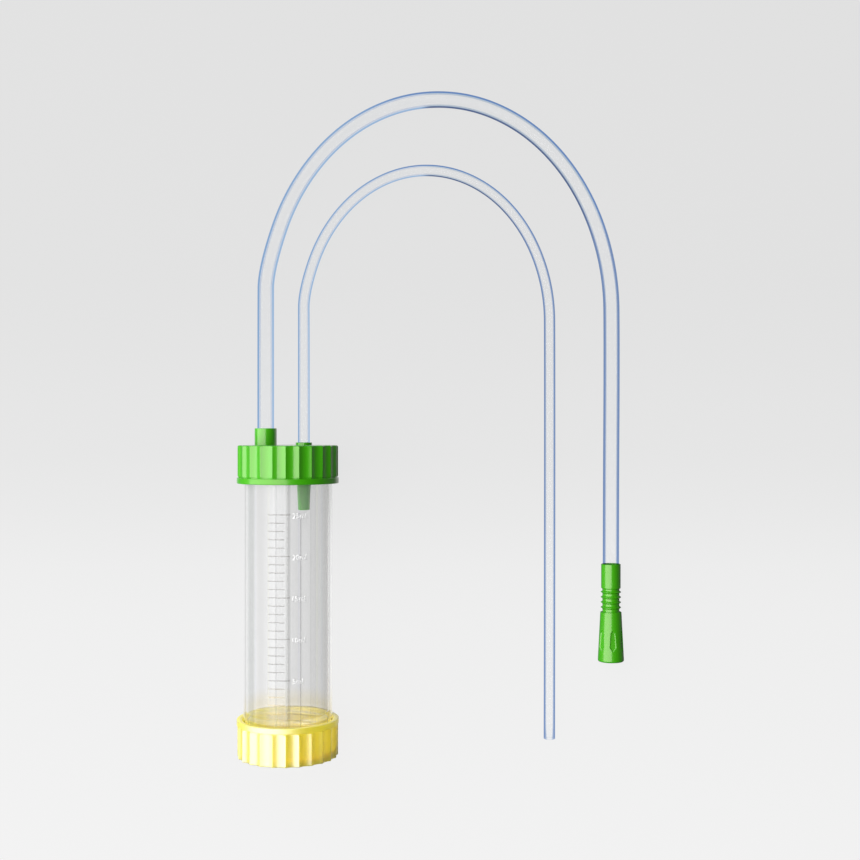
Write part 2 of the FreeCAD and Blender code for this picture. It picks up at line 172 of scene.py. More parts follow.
def roundedLine(corners, closed=False, guard=0.07):
    # A line through corners given as (radius, height, rounding). Each corner becomes an arc
    # tangent to both runs, and a point just outside each arc keeps the flats flat.
    spots = np.array([corner[:2] for corner in corners], dtype=float)
    count = len(spots)
    line = []
    for index, corner in enumerate(corners):
        ends = index in (0, count - 1) and not closed
        if ends or corner[2] == 0:
            line.append(spots[index][None, :])
            continue
        back = spots[index - 1] - spots[index]
        ahead = spots[(index + 1) % count] - spots[index]
        back, backLength = back / np.linalg.norm(back), np.linalg.norm(back)
        ahead, aheadLength = ahead / np.linalg.norm(ahead), np.linalg.norm(ahead)
        half = math.acos(np.clip(back @ ahead, -1.0, 1.0)) / 2
        longest = mostOfRun * min(backLength, aheadLength)
        reach = min(corner[2] / math.tan(half), longest)
        radius = reach * math.tan(half)
        inward = (back + ahead) / np.linalg.norm(back + ahead)
        centre = spots[index] + inward * radius / math.sin(half)
        steps = max(3, int(math.degrees(math.pi - 2 * half) / arcStep))
        sweep = np.linspace(half - math.pi / 2, math.pi / 2 - half, steps + 1)[:, None]
        across = (ahead - back) / np.linalg.norm(ahead - back)
        arc = centre + radius * (across * np.sin(sweep) - inward * np.cos(sweep))
        before = spots[index] + back * min(reach + guard, 0.5 * backLength)
        after = spots[index] + ahead * min(reach + guard, 0.5 * aheadLength)
        line.append(np.vstack([before, arc, after]))
    return np.vstack(line)


def filledIn(line, zones):
    # Adds points so that no step along the line is longer than its zone allows. A zone is
    # (lowest height, highest height, longest step).
    pieces = []
    for start, end in zip(line[:-1], line[1:]):
        middle = (start[1] + end[1]) / 2
        longest = min([step for low, high, step in zones if low <= middle <= high] + [8.0])
        count = max(1, math.ceil(np.linalg.norm(end - start) / longest))
        pieces.append(start + (end - start) * np.arange(count)[:, None] / count)
    return np.vstack(pieces + [line[-1:]])


def aroundAxis(radius, height, angle, centre=(0.0, axisHeight)):
    # Surface of revolution about a line along Y: across by radius times the sine of the angle,
    # up by radius times its cosine. The angle runs from straight up towards +X.
    radius, height, angle = np.broadcast_arrays(radius, height, angle)
    across = centre[0] + radius * np.sin(angle)
    up = centre[1] + radius * np.cos(angle)
    return np.stack([across, height, up], axis=-1)


def gridFaces(shape, closedRows=False):
    # Quads between neighbours of a grid whose columns close on themselves.
    rows, columns = shape[:2]
    row = np.arange(rows if closedRows else rows - 1)[:, None]
    column = np.arange(columns)[None, :]
    nextRow = (row + 1) % rows
    nextColumn = (column + 1) % columns
    corners = [(row, column), (row, nextColumn), (nextRow, nextColumn), (nextRow, column)]
    return np.stack([r * columns + c for r, c in corners], axis=-1).reshape(-1, 4).tolist()


def flatFill(loops):
    # Triangles of a flat face between an outer loop and the holes in it, all at one height.
    flat = np.concatenate(loops)
    edges = []
    start = 0
    for loop in loops:
        index = start + np.arange(len(loop))
        edges += np.stack([index, np.roll(index, -1)], axis=1).tolist()
        start += len(loop)
    spots, _, triangles, *_ = delaunay_2d_cdt(flat[:, [0, 2]].tolist(), edges, [], 2, 1e-7)
    made = np.array([(spot.x, flat[0, 1], spot.y) for spot in spots])
    return made, [tuple(triangle) for triangle in triangles]


weldWithin = 2e-7  # metres: points nearer than this become one
emptyWithin = 1e-8  # metres: an edge shorter than this goes


def addPiece(name, parts, finish, body, replaced):
    # Joins grids and fills, each (points, faces), into one closed mesh and hands it to the frame.
    mesh = bpy.data.meshes.new(name)
    points = []
    faces = []
    start = 0
    for spots, shapes in parts:
        spots = np.asarray(spots).reshape(-1, 3)
        points.append(spots)
        faces += [[corner + start for corner in shape] for shape in shapes]
        start += len(spots)
    mesh.from_pydata((np.concatenate(points) * mm).tolist(), [], faces)
    work = bmesh.new()
    work.from_mesh(mesh)
    bmesh.ops.remove_doubles(work, verts=work.verts, dist=weldWithin)
    bmesh.ops.dissolve_degenerate(work, edges=work.edges, dist=emptyWithin)
    bmesh.ops.recalc_face_normals(work, faces=work.faces)
    work.to_mesh(mesh)
    work.free()
    return handOver(name, mesh, finish, body, replaced)


def handOver(name, mesh, finish, body, replaced):
    # Makes the mesh an object at the world's origin, parents it to its body's empty and hides the
    # CAD parts it replaces.
    mesh.shade_smooth()
    mesh.materials.append(finish)
    piece = bpy.data.objects.new(name, mesh)
    bpy.context.collection.objects.link(piece)
    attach(piece, body)
    if replaced:
        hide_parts(*replaced)
    print(f"{name}: {len(mesh.polygons)} faces")
    return piece


camera = {
    "place": (0.0412, 0.04695, 0.3932),  # metres, looking straight down, picture up is +Y
    "lens": 54.63,
    "sensor": 36.0,
}
cameraData = bpy.data.cameras.new("camera")
cameraData.lens = camera["lens"]
cameraData.sensor_width = camera["sensor"]
cameraObject = bpy.data.objects.new("camera", cameraData)
cameraObject.location = camera["place"]
bpy.context.collection.objects.link(cameraObject)
bpy.context.scene.camera = cameraObject
print("camera placed")


def mouldedPlastic(name, plastic):
    # Moulded polythene: faint clouding in the colour, a fine grain, uneven gloss, and walls
    # thin enough for some light to come through. A band along Y can be duller than the rest.
    finish = Finish(name)
    place = finish.place()
    y = finish.split(place)[1]
    low, high = plastic["dullBand"]
    dull = finish.between(y, low * mm, (low + 0.1) * mm)
    dull = dull * finish.between(y, high * mm, (high - 0.1) * mm)
    cloud = finish.noise(place, 110.0, 3.0)
    grain = finish.noise(place, 1500.0)
    colour = plastic["colour"]
    inputs = {
        "Base Color": finish.tint(cloud, shade(colour, 0.94), shade(colour, 1.06)),
        "Roughness": plastic["roughness"] + (cloud - 0.5) * 0.06,
        "IOR": plastic["ior"],
        "Specular Tint": shade(plastic["glossTint"]),
        "Coat Weight": plastic["coat"] * (1 - dull * plastic["dull"]),
        "Coat IOR": plastic["coatIor"],
        "Coat Roughness": plastic["coatRoughness"],
        "Normal": finish.bump(grain, plastic["grain"], 0.00002),
        "Subsurface Weight": plastic["translucent"],
        "Subsurface Radius": (1.0, 1.0, 0.3),
        "Subsurface Scale": plastic["reach"],
    }
    body = finish.node("ShaderNodeBsdfPrincipled", {}, inputs)
    return finish.close(letLampsThrough(finish, body, plastic["letThrough"]))


def letLampsThrough(finish, plastic, strength):
    # A lamp's ray goes through a wall, dimmed and coloured by the plastic.
    through = finish.passing(strength)
    return finish.mixed(finish.lightPath("Is Shadow Ray"), plastic, through)


def clearBody(finish, colour, roughness, coat):
    # Clear plastic whose body hardly bends light, so that what lies behind stays in place; a
    # hard coat over it gives the reflections of the real index.
    inputs = {
        "Base Color": colour,
        "Roughness": roughness,
        "IOR": 1.02,
        "Transmission Weight": 1.0,
        "Coat Weight": coat,
        "Coat IOR": 1.5,
    }
    return finish.node("ShaderNodeBsdfPrincipled", {}, inputs)


def tubePlastic(name, tube):
    # Soft clear plastic: a ray passes straight on. Where the wall is seen edge on it shows a blue
    # cast: the tube's faint blue tint, deepened by painted shade that stands in for the darker
    # surroundings the real wall bends into view, with a paler painted fringe inside it. The
    # painted edge shade is lighter up the legs from the cap and deepest on the inside of the far
    # bends. The bore's face is fainter, and a share of the whole reflects.
    finish = Finish(name)
    x, y, z = finish.split(finish.place())
    patch = finish.noise(finish.place(), 90.0)
    facing = finish.node("ShaderNodeLayerWeight", {}, {"Blend": 0.5}, "Facing")
    inner = finish.node("ShaderNodeAttribute", {"attribute_name": "inner"}, {}, "Fac")
    turned = finish.split(finish.node("ShaderNodeUVMap", {"uv_map": "along"}, {}))[1]
    insideBend = finish.between(turned.maths("COSINE", turned * fullTurn), -0.3, 0.3)
    # painted shade at the edges, set by place: lighter near the cap, up the legs and on the arch,
    # deepest inside the far bends
    near = finish.between(x, tube["nearTo"] * mm, tube["nearFrom"] * mm)
    before = finish.between(x, (tube["apex"] + 2.0) * mm, (tube["apex"] - 2.0) * mm)
    casts = ("outNear", "outFar", "inNear", "inFar")
    edges = {cast: finish.passing(tube[cast]) for cast in casts}
    outward = finish.mixed(near, edges["outFar"], edges["outNear"])
    inward = finish.mixed(before, edges["inFar"], edges["inNear"])
    deep = finish.mixed(insideBend, outward, inward)
    leg = finish.between(y, tube["legFrom"] * mm, tube["legTo"] * mm) * (1 - before)
    deep = finish.mixed(leg, deep, finish.passing(tube["leg"]))
    arch = finish.between(y, tube["archFrom"] * mm, tube["archTo"] * mm) * (1 - before)
    pale = finish.mixed(arch, finish.passing(tube["pale"]), finish.passing(tube["paleArch"]))
    wall = finish.mixed(
        finish.between(facing, *tube["fringe"]),
        finish.passing(tube["clear"]),
        pale,
    )
    wall = finish.mixed(finish.between(facing + leg * tube["legWiden"], *tube["edge"]), wall, deep)
    bore = finish.mixed(
        finish.between(facing, *tube["boreEdge"]),
        finish.passing(tube["clear"]),
        finish.passing(tube["boreDeep"]),
    )
    glossy = clearBody(finish, shade(tube["glossColour"]), 0.02 + patch * 0.04, 1.0)
    share = (tube["glossShare"] + (patch - 0.5) * 0.04) * (1 - inner * 0.6)
    whole = finish.mixed(share, finish.mixed(inner, wall, bore), glossy)
    return finish.close(letLampsThrough(finish, whole, tube["letThrough"]))


def bandAlong(finish, turn, angle, end, full):
    # A band along the wall: 1 up to full degrees from its angle, 0 from end degrees on, and
    # eased in between.
    away = turn.maths("ABSOLUTE", turn - math.radians(angle))
    return finish.between(away, math.radians(end), math.radians(full))


def containerPlastic(name, wall):
    # Hard clear plastic with faint darker streaks at random along its length and a little haze.
    # Light and dark bands at fixed angles round the wall are painted reflections and painted
    # shade. A warm tint low on the wall near the yellow cap is a painted glow of that cap's light,
    # and a band of haze near the rim is a painted highlight. Its floor and skirt, inside the
    # yellow cap, are wet out against the cap's liner and show as little more than air. The half
    # that lies on the surface reflects less.
    finish = Finish(name)
    x, y, z = finish.split(finish.place())
    above = z - axisHeight * mm
    turn = x.maths("ARCTAN2", x, above)
    radius = (x * x + above * above) ** 0.5
    outside = finish.between(radius, wall["boreTo"] * mm, wall["outsideFrom"] * mm)
    lines = finish.noise(finish.join(turn * 3.0, y * 2.0, 0.0), 6.0, 3.0)
    streaks = finish.noise(finish.join(turn * 26.0, y * 3.0, 4.0), 1.0, 3.0)
    streaky = finish.between(streaks, 0.50, 0.74) * outside
    colour = finish.tint(streaky, shade(wall["clear"]), shade(wall["dim"]))
    # painted reflections and painted shade: lighter and darker bands at fixed angles round the
    # wall
    for angle, half, soft, top, lineColour in wall["paintedReflectionAndShadeBands"]:
        inBand = bandAlong(finish, turn, angle, half + half * soft, half - half * soft)
        reached = finish.between(y, top * mm, (top - wall["lineFade"]) * mm)
        colour = finish.tint(inBand * reached * outside, colour, shade(lineColour))
    # painted glow: the yellow cap's light as a warm tint on the lower wall near it
    paintedGlow = finish.between(y, wall["warmFrom"] * mm, wall["warmTo"] * mm)
    paintedGlow = paintedGlow * finish.between(above, 0.0, -wall["warmBelow"] * mm)
    colour = finish.tint(paintedGlow * outside, colour, shade(wall["paintedGlow"]))
    floored = finish.between(radius, wall["floorRim"] * mm, (wall["floorRim"] - 0.2) * mm)
    floored = floored * finish.between(y, wall["floorFrom"] * mm, wall["floorTo"] * mm)
    capped = finish.between(y, wall["skirtFrom"] * mm, wall["skirtTo"] * mm)
    covered = floored.maths("MAXIMUM", floored, capped)
    colour = finish.tint(covered, colour, shade((1.0, 1.0, 1.0)))
    upper = finish.between(above, -1.0 * mm, 1.0 * mm)
    dull = bandAlong(finish, turn, wall["dullAngle"], wall["dullHalf"], 0.0) * wall["dull"]
    coat = wall["lowCoat"] + upper * (wall["coat"] - wall["lowCoat"])
    coat = coat * (1 - covered) * (1 - dull)
    body = clearBody(finish, colour, 0.01 + lines * 0.03, coat)
    mist = {"Base Color": shade(wall["mist"]), "Roughness": 0.6}
    misty = finish.node("ShaderNodeBsdfPrincipled", {}, mist)
    haze = upper * (wall["haze"] + (streaks - 0.5) * 0.1) * (1 - dull)
    # painted highlight: a band of white haze near the rim, for the bright line that refracted
    # light makes there
    rim = wall["rimPaintedHighlight"]
    atRim = bandAlong(finish, turn, rim["angle"], rim["half"], rim["full"])
    haze = haze + atRim * outside * rim["depth"]
    whole = finish.mixed(haze * (1 - covered), body, misty)
    return finish.close(letLampsThrough(finish, whole, wall["letThrough"]))


def linerSheet(name):
    # Matt white foam sheet with an open fine grain.
    finish = Finish(name)
    grain = finish.noise(finish.place(), 2600.0, 4.0)
    inputs = {
        "Base Color": finish.tint(grain, shade((0.80, 0.80, 0.77)), shade((0.88, 0.88, 0.86))),
        "Roughness": 0.75 + grain * 0.15,
        "Normal": finish.bump(grain, 0.5, 0.00005),
    }
    return finish.close(finish.node("ShaderNodeBsdfPrincipled", {}, inputs))


def scaleInk(name, ink):
    # Thin ink, a little patchy. Near the yellow cap its colour is a painted glow of the cap's
    # light.
    finish = Finish(name)
    patch = finish.noise(finish.place(), 2500.0, 3.0)
    y = finish.split(finish.place())[1]
    # painted glow: near the yellow cap the ink takes a golden colour for the cap's light
    paintedGlow = finish.between(y, ink["warmFrom"] * mm, ink["warmTo"] * mm)
    colour = finish.tint(patch, shade(ink["colour"], 0.96), shade(ink["colour"], 1.04))
    inputs = {
        "Base Color": finish.tint(paintedGlow, colour, shade(ink["paintedGlowColour"])),
        "Roughness": 0.6 + patch * 0.1,
        "IOR": 1.3,
        "Alpha": ink["cover"] + (patch - 0.5) * 0.1,
    }
    return finish.close(finish.node("ShaderNodeBsdfPrincipled", {}, inputs))


greenPlastic = {
    "colour": (0.035, 0.312, 0.0006),
    "roughness": 0.32,
    "ior": 1.56,
    "glossTint": (1.0, 0.70, 0.56),
    "coat": 0.62,
    "coatIor": 1.54,
    "coatRoughness": 0.12,
    "dullBand": (10.0, 33.3),  # the tubed cap's flange and nozzle
    "dull": 0.5,
    "grain": 0.10,
    "translucent": 0.0,
    "reach": 0.001,
    "letThrough": (0.02, 0.10, 0.0),
}
yellowPlastic = {
    "colour": (1.0, 0.62, 0.012),
    "roughness": 0.50,
    "ior": 1.5,
    "glossTint": (1.0, 1.0, 1.0),
    "coat": 1.0,
    "coatIor": 2.9,
    "coatRoughness": 0.44,
    "dullBand": (-39.0, -36.0),
    "dull": 0.0,
    "grain": 0.10,
    "translucent": 1.0,
    "reach": 0.014,
    "letThrough": (1.0, 0.84, 0.14),
}
# Colours are what one face lets through; fringe and edge are how far it turns away from view
tubeWall = {
    "clear": (0.991, 0.993, 0.996),
    # the pale colours are painted lighter fringes just inside the edges, and the bore's deep
    # colour is its painted edge shade
    "pale": (0.90, 0.94, 1.0),
    "boreDeep": (0.86, 0.875, 0.93),
    "paleArch": (0.82, 0.88, 0.93),
    "fringe": (0.14, 0.30),
    "edge": (0.29, 0.47),
    "legWiden": 0.08,
    "boreEdge": (0.45, 0.75),
    "glossShare": 0.05,
    "glossColour": (0.985, 0.99, 1.0),
    "letThrough": (0.95, 0.96, 0.97),
    # the edge's painted shade: outside and inside of the bends, near the cap and far from it
    "outNear": (0.56, 0.71, 0.90),
    "inNear": (0.64, 0.78, 0.95),
    "outFar": (0.40, 0.55, 0.80),
    "inFar": (0.32, 0.40, 0.58),
    "leg": (0.47, 0.58, 0.78),
    "nearFrom": 12.0,
    "nearTo": 44.0,
    "apex": 40.0,
    "legFrom": 118.0,
    "legTo": 98.0,
    "archFrom": 105.0,
    "archTo": 120.0,
}
containerWall = {
    "clear": (0.889, 0.888, 0.887),
    "dim": (0.77, 0.77, 0.77),
    "coat": 0.85,
    "lowCoat": 0.15,
    "haze": 0.08,
    "mist": (0.92, 0.93, 0.94),
    "letThrough": (0.90, 0.90, 0.90),
    "boreTo": 12.1,  # radii that part the bore from the outside
    "outsideFrom": 12.3,
    # painted glow of the yellow cap's light, a warm tint low on the wall
    "paintedGlow": (0.86, 0.76, 0.50),  # where light from the yellow cap runs up the wall
    "warmFrom": -29.0,
    "warmTo": -34.5,
    "warmBelow": 4.0,  # full from this far below the axis
    "floorRim": 12.2,  # wet out: the floor inside this radius, and the skirt
    "floorFrom": -34.2,
    "floorTo": -34.9,
    "skirtFrom": -36.4,
    "skirtTo": -36.5,
    "lineFade": 4.0,
    # painted highlight: a band of haze near the rim
    "rimPaintedHighlight": {"angle": 107.0, "half": 13.0, "full": 10.0, "depth": 0.28},
    "dullAngle": -33.0,  # a duller band along the wall
    "dullHalf": 24.0,
    "dull": 0.65,
    # painted reflections and painted shade, as bands along the wall: degrees from straight up,
    # half width in degrees, softness, height where it ends, colour
    "paintedReflectionAndShadeBands": (
        (-66.0, 2.0, 0.9, 60.0, (0.62, 0.62, 0.62)),
        (-48.5, 6.5, 0.5, 60.0, (0.55, 0.57, 0.56)),
        (-39.5, 1.0, 0.9, 60.0, (0.78, 0.80, 0.87)),
        (-19.0, 0.8, 0.9, 60.0, (0.90, 0.90, 0.80)),
        (-8.6, 1.5, 0.9, 60.0, (0.58, 0.58, 0.59)),
        (-2.5, 4.5, 0.4, 60.0, (0.77, 0.77, 0.77)),
        (6.2, 2.8, 0.6, 60.0, (0.48, 0.48, 0.47)),
        (20.0, 1.0, 0.9, 60.0, (0.82, 0.82, 0.90)),
        (22.5, 0.8, 0.6, 25.0, (0.42, 0.42, 0.43)),
        (28.5, 4.2, 0.5, 22.0, (1.0, 1.0, 1.0)),
        (32.8, 1.8, 0.6, 60.0, (1.0, 1.0, 1.0)),
        (46.0, 1.4, 0.9, 60.0, (0.92, 0.93, 0.83)),
        (55.0, 1.6, 0.9, 60.0, (0.78, 0.81, 0.88)),
        (66.0, 11.0, 0.5, 60.0, (0.69, 0.69, 0.68)),
    ),
}
# the second colour of each ink is a painted glow of the yellow cap's light on the marks near it
markInk = {
    "colour": (0.16, 0.15, 0.12),
    "cover": 0.22,
    "paintedGlowColour": (0.80, 0.60, 0.20),
    "warmFrom": -23.5,
    "warmTo": -31.0,
}
numberInk = {
    "colour": (0.92, 0.92, 0.92),
    "cover": 0.75,
    "paintedGlowColour": (0.92, 0.92, 0.90),
    "warmFrom": -30.0,
    "warmTo": -34.0,
}
capGreen = mouldedPlastic("cap_green_plastic", greenPlastic)
capYellow = mouldedPlastic("cap_yellow_plastic", yellowPlastic)
connectorGreen = mouldedPlastic("connector_green_plastic", greenPlastic)
tubeClear = tubePlastic("tube_clear_plastic", tubeWall)
containerClear = containerPlastic("container_clear_plastic", containerWall)
linerWhite = linerSheet("liner_white_sheet")
inkForMarks = scaleInk("mark_ink", markInk)
inkForNumbers = scaleInk("number_ink", numberInk)
print("finishes made")

suctionHose = {
    # metres, from the shoulder in the green cap to the one in the connector
    "route": (
        (-0.00645, 0.04185, 0.0147),
        (-0.00645, 0.0620, 0.0147),
        (-0.0068, 0.0825, 0.0119),
        (-0.0071, 0.0943, 0.0092),
        (0.0001, 0.1180, 0.0050),
        (0.0144, 0.1363, 0.00245),
        (0.0334, 0.1459, 0.00245),
        (0.0540, 0.1459, 0.00245),
        (0.0730, 0.1363, 0.00245),
        (0.0875, 0.1185, 0.00245),
        (0.0954, 0.0952, 0.00245),
        (0.0956, 0.0706, 0.0027),
        (0.09515, 0.0240, 0.0039),
        (0.09515, 0.0, 0.0039),
    ),
    "outer": 2.4,
    "bore": 1.65,
    "around": 48,
    "lip": 0.06,  # bevel round the ends
}
catheterLine = {
    # metres, from the shoulder in the green cap to the bare end
    "route": (
        (0.00462, 0.03735, 0.0147),
        (0.00462, 0.0570, 0.0147),
        (0.0043, 0.0775, 0.0114),
        (0.0040, 0.0878, 0.0089),
        (0.0092, 0.1047, 0.0052),
        (0.0193, 0.1177, 0.0026),
        (0.0328, 0.1248, 0.00175),
        (0.0475, 0.1248, 0.00175),
        (0.0611, 0.1179, 0.00175),
        (0.0714, 0.1052, 0.00175),
        (0.0770, 0.0886, 0.00175),
        (0.0771, 0.0711, 0.00175),
        (0.0771, 0.0205, 0.00175),
        (0.0770, -0.0456, 0.00175),
    ),
    "outer": 1.7,
    "bore": 1.1,
    "around": 40,
    "lip": 0.06,
}


def smoothRoute(name, spots):
    # The route as a smooth spline with the spots as control points, read back as a line.
    curve = bpy.data.curves.new(name, "CURVE")
    curve.dimensions = "3D"
    spline = curve.splines.new("NURBS")
    spline.points.add(len(spots) - 1)
    spline.points.foreach_set("co", np.insert(np.array(spots), 3, 1.0, axis=1).ravel())
    spline.order_u = 3
    spline.use_endpoint_u = True
    spline.resolution_u = 20
    holder = bpy.data.objects.new(name, curve)
    mesh = bpy.data.meshes.new_from_object(holder)
    line = np.empty(len(mesh.vertices) * 3)
    mesh.vertices.foreach_get("co", line)
    bpy.data.meshes.remove(mesh)
    bpy.data.objects.remove(holder)
    bpy.data.curves.remove(curve)
    return line.reshape(-1, 3)


def hollowTube(name, tube, body, replaced):
    # A ring carried along the route, out along the outside and back along the bore. At each
    # point the ring lies across the route's direction, with one axis level.
    line = smoothRoute(name + "_route", tube["route"])
    along = np.gradient(line, axis=0)
    along /= np.linalg.norm(along, axis=1)[:, None]
    side = np.cross(along, (0.0, 0.0, 1.0))
    side /= np.linalg.norm(side, axis=1)[:, None]
    above = np.cross(side, along)
    gone = np.concatenate([[0.0], np.cumsum(np.linalg.norm(np.diff(line, axis=0), axis=1))])
    angle = fullTurn * np.arange(tube["around"]) / tube["around"]
    last = len(line) - 1
    lip = tube["lip"]
    rows = [(0, tube["bore"] + lip, 0.0), (0, tube["outer"] - lip, 0.0)]
    rows += [(0, tube["outer"], lip)]
    rows += [(index, tube["outer"], 0.0) for index in range(1, last)]
    rows += [(last, tube["outer"], -lip), (last, tube["outer"] - lip, 0.0)]
    rows += [(last, tube["bore"] + lip, 0.0), (last, tube["bore"], -lip)]
    rows += [(index, tube["bore"], 0.0) for index in range(last - 1, 0, -1)]
    rows += [(0, tube["bore"], lip)]
    index = np.array([row[0] for row in rows])
    radius = np.array([row[1] for row in rows])[:, None, None] * mm
    shift = np.array([row[2] for row in rows])[:, None, None] * mm
    ring = side[index][:, None, :] * np.cos(angle)[None, :, None]
    ring = ring + above[index][:, None, :] * np.sin(angle)[None, :, None]
    points = line[index][:, None, :] + along[index][:, None, :] * shift + ring * radius
    faces = gridFaces(points.shape, closedRows=True)
    mesh = bpy.data.meshes.new(name)
    mesh.from_pydata(points.reshape(-1, 3).tolist(), [], faces)
    acrossMap = np.arange(len(rows) * tube["around"]) % tube["around"] / tube["around"]
    lengthMap = np.repeat(gone[index], tube["around"])
    corners = np.array(faces).ravel()
    laid = np.stack([lengthMap[corners], acrossMap[corners]], axis=1).reshape(-1, 4, 2)
    laid[:, [1, 2], 1] = np.where(laid[:, [1, 2], 1] == 0, 1.0, laid[:, [1, 2], 1])
    mesh.uv_layers.new(name="along").uv.foreach_set("vector", laid.ravel())
    innerRows = np.array([row[1] < tube["outer"] - 0.01 for row in rows], dtype=float)
    inner = mesh.attributes.new(name="inner", type="FLOAT", domain="POINT")
    inner.data.foreach_set("value", np.repeat(innerRows, tube["around"]))
    work = bmesh.new()
    work.from_mesh(mesh)
    bmesh.ops.recalc_face_normals(work, faces=work.faces)
    work.to_mesh(mesh)
    work.free()
    piece = handOver(name, mesh, tubeClear, body, replaced)
    return piece, [tuple(spot) for spot in line.tolist()]


suctionPiece, suctionLine = hollowTube("suction_hose", suctionHose, "lid", ["suction_tube"])
catheterPiece, catheterPath = hollowTube("catheter_line", catheterLine, "lid", ["catheter_tube"])

connector = {
    "axis": (95.15, 3.9),
    "mouthY": -22.05,
    "columns": 360,
    "sleeveRadius": 2.88,
    "sleeveChamfer": 0.25,
    "length": 29.05,
    "socketRadius": 2.43,
    "seat": 22.05,
    "throatRadius": 1.65,
    "throatLength": 1.3,
    "neckRadius": 2.5,
    "neckTop": 21.7,
    "flareLength": 14.8,
    "flareTop": 3.13,
    "flareMouth": 3.9,
    "mouthBore": 2.7,
    "mouthDepth": 12.0,
    "ribRadius": 3.06,
    "ribWidth": 0.87,
    "ribPitch": 1.53,
    "firstRib": 1.35,
    "ribs": 4,
    "grips": 6,
    "gripDepth": 0.35,
    "firstGrip": 2.5,  # degrees from straight up
    "gripOutline": ((3.33, 0.0), (4.43, 0.98), (8.75, 0.66), (9.6, 0.0)),
    "gripWall": 0.07,
}


def insideGrip(height, angle, sizes):
    # How far a point of the flare lies inside the nearest hexagon, in millimetres: the least
    # distance to its sloping sides, which run through its four corner heights.
    step = fullTurn / sizes["grips"]
    turn = angle - math.radians(sizes["firstGrip"])
    turn = (turn + step / 2) % step - step / 2
    radius = np.interp(height, (0, sizes["flareLength"]), (sizes["flareMouth"], sizes["flareTop"]))
    across = np.abs(np.sin(turn) * radius)
    depth = np.full(np.broadcast(height, angle).shape, 9.0)
    outline = np.array(sizes["gripOutline"])
    for (lowY, lowX), (highY, highX) in zip(outline[:-1], outline[1:]):
        run = np.array([highY - lowY, highX - lowX])
        run = run / np.linalg.norm(run)
        side = (height - lowY) * run[1] - (across - lowX) * run[0]
        depth = np.minimum(depth, side)
    return depth, turn


def connectorShape(sizes):
    # The section of the wall turned about the connector's axis: from the throat down the mouth's
    # bore, up the flare, over the ribs and the sleeve, and down the socket. The hexagons are
    # flats at one depth, blended into the flare over their walls.
    rib = []
    for number in range(sizes["ribs"]):
        crest = sizes["flareLength"] + sizes["firstRib"] + number * sizes["ribPitch"]
        half = sizes["ribWidth"] / 2
        rib.append((sizes["neckRadius"], crest - half, 0.08))
        rib.append((sizes["ribRadius"], crest, 0.10))
        rib.append((sizes["neckRadius"], crest + half, 0.08))
    corners = [
        (sizes["throatRadius"], sizes["mouthDepth"] + sizes["throatLength"], 0.2),
        (sizes["mouthBore"], sizes["mouthDepth"], 0.2),
        (sizes["mouthBore"], 0.0, 0.25),
        (sizes["flareMouth"], 0.0, 0.7),
        (sizes["flareTop"], sizes["flareLength"], 0.16),
        (sizes["neckRadius"], sizes["flareLength"], 0.1),
        *rib,
        (sizes["neckRadius"], sizes["neckTop"], 0.06),
        (sizes["sleeveRadius"] - sizes["sleeveChamfer"], sizes["neckTop"], 0.06),
        (sizes["sleeveRadius"], sizes["neckTop"] + sizes["sleeveChamfer"], 0.1),
        (sizes["sleeveRadius"], sizes["length"], 0.12),
        (sizes["socketRadius"], sizes["length"], 0.08),
        (sizes["socketRadius"], sizes["seat"], 0.05),
        (sizes["throatRadius"], sizes["seat"], 0.1),
    ]
    line = roundedLine(corners, closed=True, guard=0.03)
    low = sizes["gripOutline"][0][0] - 0.2
    high = sizes["gripOutline"][-1][0] + 0.2
    line = filledIn(np.vstack([line, line[:1]]), [(low, high, 0.06)])[:-1]
    radius, height = line[:, :1], line[:, 1:]
    angle = (fullTurn * np.arange(sizes["columns"]) / sizes["columns"])[None, :]
    inside, turn = insideGrip(height, angle, sizes)
    slope = (sizes["flareMouth"] - sizes["flareTop"]) / sizes["flareLength"]
    floor = (sizes["flareMouth"] - slope * height - sizes["gripDepth"]) / np.cos(turn)
    sunk = radius + (floor - radius) * eased(inside / sizes["gripWall"])
    outside = (radius > sizes["mouthBore"] + 0.3) & (height < sizes["flareLength"])
    radius = np.where(outside, np.minimum(sunk, radius), radius)
    points = aroundAxis(radius, sizes["mouthY"] + height, angle, sizes["axis"])
    return points, gridFaces(points.shape, closedRows=True)


funnel = addPiece(
    "funnel_connector",
    [connectorShape(connector)],
    connectorGreen,
    "lid",
    ["suction_connector"],
)
print("tubes and connector made")

threadForm = {"pitch": 3.0, "height": 0.55, "base": 1.15, "crest": 0.45, "fade": 0.07}


def threadRise(height, angle, thread):
    # A right-hand helical ridge: its centre climbs by the pitch in each turn. The rise is a
    # trapezoid of the distance to that centre, faded out at both ends.
    turns = (height - thread["atZero"]) / threadForm["pitch"] - angle / fullTurn
    nearest = np.round(turns)
    away = np.abs(turns - nearest) * threadForm["pitch"]
    reached = nearest + angle / fullTurn
    flank = (threadForm["base"] - threadForm["crest"]) / 2
    rise = eased((threadForm["base"] / 2 - away) / flank)
    starts = eased((reached - thread["first"]) / threadForm["fade"])
    stops = eased((thread["last"] - reached) / threadForm["fade"])
    return threadForm["height"] * rise * starts * stops


container = {
    "radius": 12.8,
    "bore": 11.7,
    "neckRadius": 12.4,
    "skirtBore": 11.3,
    "rimY": 40.05,
    "skirtRimY": -44.95,
    "neckLength": 7.5,
    "shoulder": 0.4,
    "floorTopY": -35.0,
    "floorUnderY": -36.45,
    "columns": 288,
    "neckThread": {"atZero": 33.3, "first": 0.0, "last": 2.0},
    "skirtThread": {"atZero": -44.2, "first": 0.0, "last": 2.0},
}


